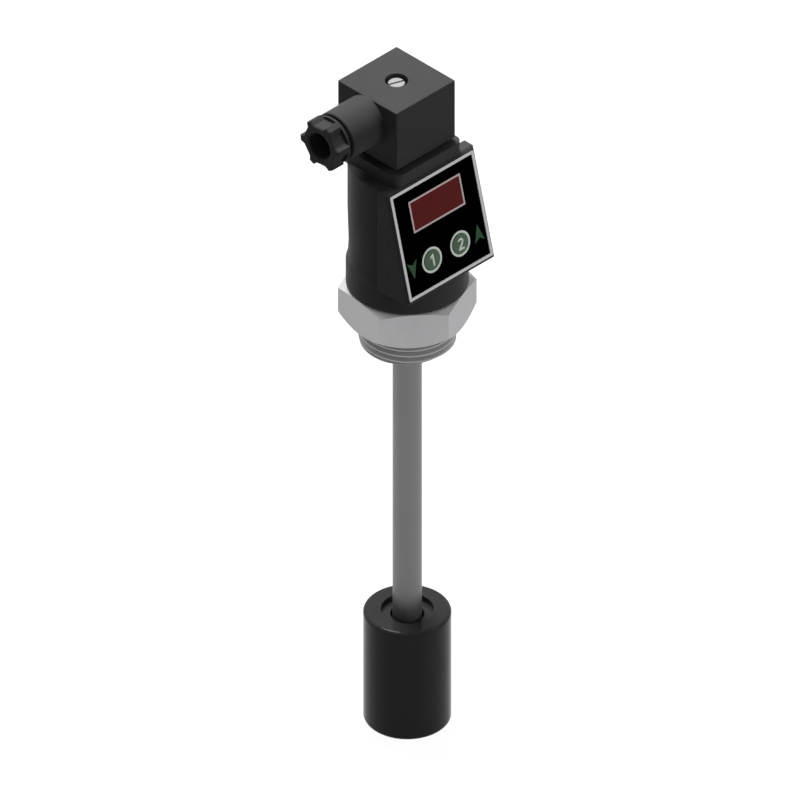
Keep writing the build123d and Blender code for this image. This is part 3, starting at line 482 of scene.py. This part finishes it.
# %% Assign surfaces
surfaces = {
    housing_plastic: ["housing"],
    cover_plastic: ["front_cover"],
    socket_plastic: ["socket_shell"],
    nut_plastic: ["gland_nut", "gland_washer"],
    base_plastic: ["connector_base"],
    insert_plastic: ["terminal_insert"],
    nipple_steel: ["hex_nipple"],
    stem_steel: ["stem_tube", "stem_end_plug"],
    washer_steel: ["stop_washer"],
    spring_steel: ["stop_ring", "swivel_snap_ring"],
    screw_steel: ["centre_screw", "terminal_screws", "board_screws"],
    float_gloss: ["float"],
    magnet_grey: ["float_magnet"],
    plate_film: ["faceplate"],
    frame_film: ["face_frame"],
    window_film: ["display_window"],
    window_edge: ["window_frame"],
    ring_film: ["key_rings"],
    key_green: ["key_1", "key_2"],
    board_green: ["reed_board", "display_board", "main_board"],
    component_black: ["chain_resistors", "key_switches", "board_components", "digit_display"],
    contact_tin: ["contact_blades", "earth_blade", "contact_sockets"],
    reed_glass: ["reed_switches"],
    gasket_rubber: ["profile_gasket", "screw_seal", "swivel_seal_ring"],
    grommet_rubber: ["cable_grommet"],
}
for material, names in surfaces.items():
    for name in names:
        for slot in frame["nodes"][name].material_slots:
            slot.material = material
dressed = {name for names in surfaces.values() for name in names}
print("dressed:", len(dressed), "missed:", sorted(set(frame["nodes"]) - dressed))

# %% [markdown]
# ## The pipe thread
#
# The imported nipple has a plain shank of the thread's outer size. The real one has a pipe thread
# of 2.309 mm pitch, and its crests and roots are plain to see under the hexagon. A thread is a
# main form with a rule: round the axis and down it, the radius follows a triangle wave that
# advances by one pitch each turn, with its crests and roots cut flat. Geometry Nodes state that
# rule well, and a class like `Surface` keeps their tree short: it adds nodes in the same way, and
# it names the tree's sizes as inputs, so that they can be changed on the modifier.

# %% Geometry trees
class Geometry:
    """One Geometry Nodes tree, with named inputs and an easy way to add nodes."""

    def __init__(self, name, sizes):
        self.tree = bpy.data.node_groups.new(name, "GeometryNodeTree")
        interface = self.tree.interface
        interface.new_socket("Geometry", in_out="OUTPUT", socket_type="NodeSocketGeometry")
        self.sockets = {}
        for label, value in sizes.items():
            kind = "NodeSocketInt" if isinstance(value, int) else "NodeSocketFloat"
            made = interface.new_socket(label, in_out="INPUT", socket_type=kind)
            self.sockets[label] = (made.identifier, value)
        self.inputs = self.tree.nodes.new("NodeGroupInput")

    def __getitem__(self, label):
        return Signal(self, self.inputs.outputs[label])

    def node(self, kind, settings=None, sockets=None, out=0):
        return Surface.node(self, kind, settings, sockets, out)

    def join(self, value, socket):
        Surface.join(self, value, socket)

    def made(self, name, geometry, material):
        """Realise the geometry, set its material and turn it into a plain mesh object."""
        real = self.node("GeometryNodeRealizeInstances", sockets={0: geometry})
        dressed = self.node("GeometryNodeSetMaterial", sockets={0: real, "Material": material})
        end = self.tree.nodes.new("NodeGroupOutput")
        self.tree.links.new(dressed.socket, end.inputs[0])
        carrier = bpy.data.objects.new(name, bpy.data.meshes.new(name + "_carrier"))
        bpy.context.scene.collection.objects.link(carrier)
        modifier = carrier.modifiers.new("shape", "NODES")
        modifier.node_group = self.tree
        for identifier, value in self.sockets.values():
            modifier[identifier] = value
        view = bpy.context.evaluated_depsgraph_get()
        mesh = bpy.data.meshes.new_from_object(carrier.evaluated_get(view))
        carrier.modifiers.clear()
        carrier.data = mesh
        return carrier


print("geometry trees share their way of adding nodes with the surfaces")

# %% [markdown]
# ## Wrap a grid into the thread
#
# A flat grid, one unit square about its middle, is wrapped round the axis: one side runs once
# round, the other runs down the shank. Its radius comes from the wave, and a cone trims the last
# turn as the die's lead-in does. Sweeping a tooth along a helix would leave the ends of the helix
# to be patched by hand, and the grid has no such ends.

# %% Cut the thread
THREAD_PITCH = 2.309 * MM
THREAD_DEPTH = 1.479 * MM
THREAD_LEAD = 0.6 * MM
CREST_SHARE = 0.17
STEPS_ROUND = 256
STEPS_DOWN = 132
SEAM_GAP = 0.002 * MM
SHANK_BELOW = 0.5 * MM
GRID_HALF = 0.5


def thread_tree(radius, length, lead):
    """A threaded sleeve from height 0 down to its length, open at both ends."""
    sizes = {
        "Radius": radius, "Length": length, "Lead": lead, "Pitch": THREAD_PITCH,
        "Depth": THREAD_DEPTH, "Steps round": STEPS_ROUND, "Steps down": STEPS_DOWN,
    }
    tree = Geometry("pipe_thread", sizes)
    grid = tree.node("GeometryNodeMeshGrid", sockets={
        "Size X": 2 * GRID_HALF,
        "Size Y": 2 * GRID_HALF,
        "Vertices X": tree["Steps round"],
        "Vertices Y": tree["Steps down"],
    })
    flat_x, flat_y, _ = tree.node("GeometryNodeInputPosition").parts()
    turn = flat_x + GRID_HALF
    drop = (GRID_HALF - flat_y) * tree["Length"]
    phase = (drop / tree["Pitch"] + turn).fraction()
    wave = (phase - 0.5).absolute() * 2.0
    crest = ((wave - CREST_SHARE) / (1 - 2 * CREST_SHARE)).clamped()
    threaded = tree["Radius"] - tree["Depth"] * (1 - crest)
    lead_in = tree["Radius"] - tree["Lead"] + (tree["Length"] - drop)
    reach = threaded.smaller(lead_in)
    angle = turn * (2 * math.pi)
    spot = tree.node("ShaderNodeCombineXYZ", sockets={
        "X": reach * angle.cosine(),
        "Y": reach * angle.sine() * -1.0,
        "Z": drop * -1.0,
    })
    wrapped = tree.node("GeometryNodeSetPosition", sockets={0: grid, "Position": spot})
    merged = tree.node("GeometryNodeMergeByDistance", sockets={0: wrapped, "Distance": SEAM_GAP})
    return tree, merged


shank_radius = max(
    math.hypot(vertex.co.x, vertex.co.y)
    for vertex in frame["nodes"]["hex_nipple"].data.vertices
    if vertex.co.z < -SHANK_BELOW
)
tree, sleeve = thread_tree(shank_radius, -nipple_low.z, THREAD_LEAD)
thread_sleeve = tree.made("thread_sleeve", sleeve, nipple_steel)
print("thread's outer radius, mm:", round(shank_radius / MM, 3))
print("thread sleeve faces:", len(thread_sleeve.data.polygons))

# %% [markdown]
# ## Join the thread to the nipple
#
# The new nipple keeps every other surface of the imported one: the bevelled hexagon, the bore and
# the spigot. Its copy is merged first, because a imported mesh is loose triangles. The plain shank
# and the two flat faces that meet it are taken off, the sleeve is added, and both flat faces are
# filled again from edge to edge, so the result is one closed mesh. A boolean could do the same,
# but it leaves slivers along the thread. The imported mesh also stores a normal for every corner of
# its loose triangles. On the merged mesh these would show as bands across the flats, so they are
# dropped, and the shading follows the shape.

# %% Assemble the threaded nipple
SAME_POINT = 0.001 * MM
SAME_HEIGHT = 0.01 * MM
BORE_REACH = 6 * MM
SHARP_EDGE = math.radians(28)


def flat_ring(mesh, height):
    """Fill between the open loops that lie at one height."""
    edges = [
        edge for edge in mesh.edges
        if edge.is_boundary and all(abs(end.co.z - height) < SAME_HEIGHT for end in edge.verts)
    ]
    bmesh.ops.triangle_fill(mesh, edges=edges, use_beauty=True)


def on_shank(face):
    """True for a face of the plain shank, or of the flat faces that meet it, but not the bore."""
    reach = max(math.hypot(vertex.co.x, vertex.co.y) for vertex in face.verts)
    return reach > BORE_REACH and face.calc_center_median().z < SAME_HEIGHT


def threaded_nipple(packed, sleeve):
    """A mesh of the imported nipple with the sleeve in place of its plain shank."""
    mesh = bmesh.new()
    mesh.from_mesh(packed.data)
    bmesh.ops.remove_doubles(mesh, verts=mesh.verts, dist=SAME_POINT)
    low = min(vertex.co.z for vertex in mesh.verts)
    gone = [face for face in mesh.faces if on_shank(face)]
    bmesh.ops.delete(mesh, geom=gone, context="FACES")
    loose = [vertex for vertex in mesh.verts if not vertex.link_faces]
    bmesh.ops.delete(mesh, geom=loose, context="VERTS")
    mesh.from_mesh(sleeve.data)
    flat_ring(mesh, 0.0)
    flat_ring(mesh, low)
    bmesh.ops.recalc_face_normals(mesh, faces=mesh.faces)
    data = bpy.data.meshes.new("nipple_threaded")
    mesh.to_mesh(data)
    mesh.free()
    if data.has_custom_normals:
        data.attributes.remove(data.attributes["custom_normal"])
    for face in data.polygons:
        face.use_smooth = True
    data.set_sharp_from_angle(angle=SHARP_EDGE)
    return data


def report_mesh(name, data):
    """Print a mesh's faces, and the edges that don't join exactly two: none if it is closed."""
    mesh = bmesh.new()
    mesh.from_mesh(data)
    open_edges = sum(1 for edge in mesh.edges if not edge.is_manifold)
    mesh.free()
    print(name, "faces:", len(data.polygons), "open edges:", open_edges)


nipple_mesh = threaded_nipple(frame["nodes"]["hex_nipple"], thread_sleeve)
bpy.data.objects.remove(thread_sleeve)
report_mesh("nipple_threaded", nipple_mesh)

# %% [markdown]
# ## Put the new nipple in place
#
# On the real nipple the bright hexagon and the duller thread are cut from one bar, so the new mesh
# is one piece with two steels: everything under the hexagon's flat face takes the thread's. It
# rides on the body that is fixed to the tank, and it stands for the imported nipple.

# %% Place the threaded nipple
THREAD_BELOW = 0.02 * MM

nipple_mesh.materials.clear()
nipple_mesh.materials.append(nipple_steel)
nipple_mesh.materials.append(thread_steel)
for face in nipple_mesh.polygons:
    face.material_index = 1 if face.center.z < -THREAD_BELOW else 0
nipple = bpy.data.objects.new("nipple_threaded", nipple_mesh)
bpy.context.scene.collection.objects.link(nipple)
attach(nipple, "process_connection")
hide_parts("hex_nipple")
threads = sum(face.material_index for face in nipple_mesh.polygons)
print(nipple.name, "has", threads, "faces in thread_steel")

# %% [markdown]
# ## Printed arrows
#
# Two green arrows are printed on the black plate beside the keys, one pointing down and one
# pointing up. Each is a dart: a triangle with a notch in its foot. A print has almost no
# thickness, so each is a sheet a few hundredths of a millimetre thick that lies on the plate.

# %% Arrows
PRINT_THICKNESS = 0.03 * MM
ARROW_WIDTH = 4.6 * MM
ARROW_HEIGHT = 6.6 * MM
ARROW_NOTCH = 1.5 * MM
ARROW_ACROSS = 15.6 * MM
ARROW_FALL = 9.7 * MM


def onto_panel(outline, centre, lift):
    """Lay a flat outline (across, up) on the sloping panel, at a height over a point on it."""
    raised = centre + panel_out * lift
    return [raised + panel_right * across + panel_up * up for across, up in outline]


def printed_sheet(name, outline, centre, material, body):
    """A thin closed sheet of an outline, lying on the panel."""
    lower = onto_panel(outline, centre, 0.0)
    upper = onto_panel(outline, centre, PRINT_THICKNESS)
    count = len(outline)
    faces = [list(range(count))[::-1], [index + count for index in range(count)]]
    faces += [
        [index, (index + 1) % count, (index + 1) % count + count, index + count]
        for index in range(count)
    ]
    data = bpy.data.meshes.new(name)
    data.from_pydata(lower + upper, [], faces)
    mesh = bmesh.new()
    mesh.from_mesh(data)
    bmesh.ops.triangulate(mesh, faces=mesh.faces)
    bmesh.ops.recalc_face_normals(mesh, faces=mesh.faces)
    mesh.to_mesh(data)
    mesh.free()
    data.materials.append(material)
    sheet = bpy.data.objects.new(name, data)
    bpy.context.scene.collection.objects.link(sheet)
    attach(sheet, body)
    return sheet


def dart(direction):
    """The arrow's outline, pointing up for 1 and down for -1."""
    half_width = ARROW_WIDTH / 2
    half_height = ARROW_HEIGHT / 2
    return [
        (-half_width, -half_height * direction),
        (0.0, (ARROW_NOTCH - half_height) * direction),
        (half_width, -half_height * direction),
        (0.0, half_height * direction),
    ]


for name, side in (("arrow_down", -1), ("arrow_up", 1)):
    centre = plate_middle + panel_right * (side * ARROW_ACROSS) - panel_up * ARROW_FALL
    arrow = printed_sheet(name, dart(side), centre, arrow_green, "head")
    report_mesh(name, arrow.data)

# %% [markdown]
# ## Numbers on the keys
#
# Each key carries a plain number, printed in silver ink. Blender's own font could write them,
# but its 1 is a bare bar, and its letters come as loose faces that have to be closed. So each
# number is drawn as an outline, in heights of the number about its middle, and printed as the
# arrows are. The 2 is a bow of two arcs, a slanting stroke and a foot. The number rides on its
# key, so it travels when the key is pressed.

# %% Key numbers
NUMBER_HEIGHT = 4.4 * MM
BOW_STEPS = 14
BOW_RISE = 0.21
BOW_OUTER, BOW_INNER = 0.29, 0.12
BOW_START, BOW_END = 165, -38


def bow(radius, first, last):
    """Points along the 2's round top, between two angles in degrees."""
    turns = [first + (last - first) * step / BOW_STEPS for step in range(BOW_STEPS + 1)]
    angles = [math.radians(turn) for turn in turns]
    return [(radius * math.cos(angle), BOW_RISE + radius * math.sin(angle)) for angle in angles]


slanted_foot = [(-0.04, -0.33), (0.29, -0.33), (0.29, -0.50), (-0.30, -0.50), (-0.30, -0.36)]
numbers = {
    "key_1": [
        (-0.02, -0.50), (0.15, -0.50), (0.15, 0.50), (0.00, 0.50),
        (-0.22, 0.31), (-0.22, 0.12), (-0.02, 0.28),
    ],
    "key_2": bow(BOW_OUTER, BOW_START, BOW_END) + slanted_foot
    + bow(BOW_INNER, BOW_END, BOW_START),
}
for key, outline in numbers.items():
    drawn = [(across * NUMBER_HEIGHT, up * NUMBER_HEIGHT) for across, up in outline]
    number = printed_sheet(key + "_number", drawn, front_of(key), mark_ink, key)
    report_mesh(number.name, number.data)

# %% [markdown]
# ## Floor
#
# The picture is a plain white catalogue view. The floor is white where the camera or a reflection
# sees it, and a dim grey where it lights the object, so that colours come out about as they are
# written. Light Path tells the two apart: its outputs say what kind of ray asks. A bright floor
# would do without that, but it would also light the object from below.

# %% Floor
WHITE = (1.0, 1.0, 1.0, 1.0)
FLOOR_GREY = (0.18, 0.18, 0.18, 1.0)
FLOOR_GLOW = 0.97
FLOOR_SIZE = 4.0
FLOOR_DROP = 0.4 * MM
SEEN_RAYS = ("Is Camera Ray", "Is Glossy Ray", "Is Transmission Ray")

floor_height = switch_low.z - FLOOR_DROP
half = FLOOR_SIZE / 2
corners = [(-half, -half), (half, -half), (half, half), (-half, half)]
floor_mesh = bpy.data.meshes.new("floor")
floor_mesh.from_pydata([(*corner, floor_height) for corner in corners], [], [(0, 1, 2, 3)])
floor = bpy.data.objects.new("floor", floor_mesh)
bpy.context.scene.collection.objects.link(floor)


def seen_directly(surface):
    """1 where the camera, a reflection or a see-through ray looks, 0 where light is gathered."""
    path = surface.tree.nodes.new("ShaderNodeLightPath")
    eye, mirrored, through = [Signal(surface, path.outputs[label]) for label in SEEN_RAYS]
    return (eye + mirrored + through).clamped()


floor_surface = Surface(
    "floor_white", Roughness=1.0, Base_Color=FLOOR_GREY, Specular_IOR_Level=0.0,
    Emission_Color=WHITE,
)
floor_surface.feed("Emission Strength", seen_directly(floor_surface) * FLOOR_GLOW)
floor_mesh.materials.append(floor_surface.material)
print("floor at mm:", round(floor_height / MM, 2))

# %% [markdown]
# ## World
#
# The world works as the floor does: white to the eye and in reflections, and a low even light
# everywhere else. That low light is what fills the shadows, so it is kept weak, and the lamps give
# the object its form.

# %% World
AMBIENT = 0.10

world = bpy.data.worlds.new("studio")
bpy.context.scene.world = world
world.use_nodes = True


class Sky(Surface):
    """The world's node tree, with the same way to add nodes."""

    def __init__(self, world):
        self.tree = world.node_tree
        self.shader = self.tree.nodes["Background"]


sky = Sky(world)
sky.shader.inputs["Color"].default_value = WHITE
sky.feed("Strength", seen_directly(sky) * (1.0 - AMBIENT) + AMBIENT)
print("world lights the object at strength", AMBIENT)

# %% [markdown]
# ## Lamps
#
# Two soft round lamps are enough. In the catalogue shot the top faces are six or seven times as
# light as the upright ones, so nearly all the light comes from above. The bright spots on the
# hexagon's left corner and on the float's rim tell where it hangs: a spot lies where the surface
# faces halfway between the eye and the lamp, so the lamp is overhead, behind and to the right. A
# weaker one in front tells the two upright sides apart. A point lamp would give hard shadows,
# while a broad disc gives the soft ones of a studio.

# %% Lamps
def soft_lamp(name, place, size, power):
    """A round lamp aimed at the origin, with its width in metres and its power in watts."""
    data = bpy.data.lights.new(name, "AREA")
    data.shape = "DISK"
    data.size = size
    data.energy = power
    lamp = bpy.data.objects.new(name, data)
    lamp.location = place
    lamp.rotation_euler = (-Vector(place)).to_track_quat("-Z", "Y").to_euler()
    bpy.context.scene.collection.objects.link(lamp)
    print(name, "lamp of", power, "W at", place)


soft_lamp("overhead", (0.14, 0.38, 0.95), size=0.45, power=11.5)
soft_lamp("front_right", (0.5, -1.0, 0.35), size=0.5, power=1.9)

# %% [markdown]
# ## Camera
#
# The photograph has no perspective: parallel edges stay parallel, as in an isometric drawing. So
# the camera is orthographic and looks down from the corner between the display side and the
# cable side, with the same angle to all three axes.

# %% Camera
PICTURE_WIDTH = 804
PIXELS_PER_MM = 2.95
PICTURE_MIDDLE = Vector((-1.26, 1.26, -36.6)) * MM
CAMERA_DISTANCE = 1.2
CAMERA_REACH = 10.0

camera_data = bpy.data.cameras.new("catalogue_view")
camera_data.type = "ORTHO"
camera_data.ortho_scale = PICTURE_WIDTH / PIXELS_PER_MM * MM
camera_data.clip_end = CAMERA_REACH
camera = bpy.data.objects.new("catalogue_view", camera_data)
towards_camera = Vector((-1.0, -1.0, 1.0)).normalized()
camera.location = PICTURE_MIDDLE + towards_camera * CAMERA_DISTANCE
camera.rotation_euler = towards_camera.to_track_quat("Z", "Y").to_euler()
bpy.context.scene.collection.objects.link(camera)
bpy.context.scene.camera = camera
bpy.context.scene.view_settings.view_transform = "Standard"
print("view is", round(camera_data.ortho_scale / MM, 1), "mm wide")
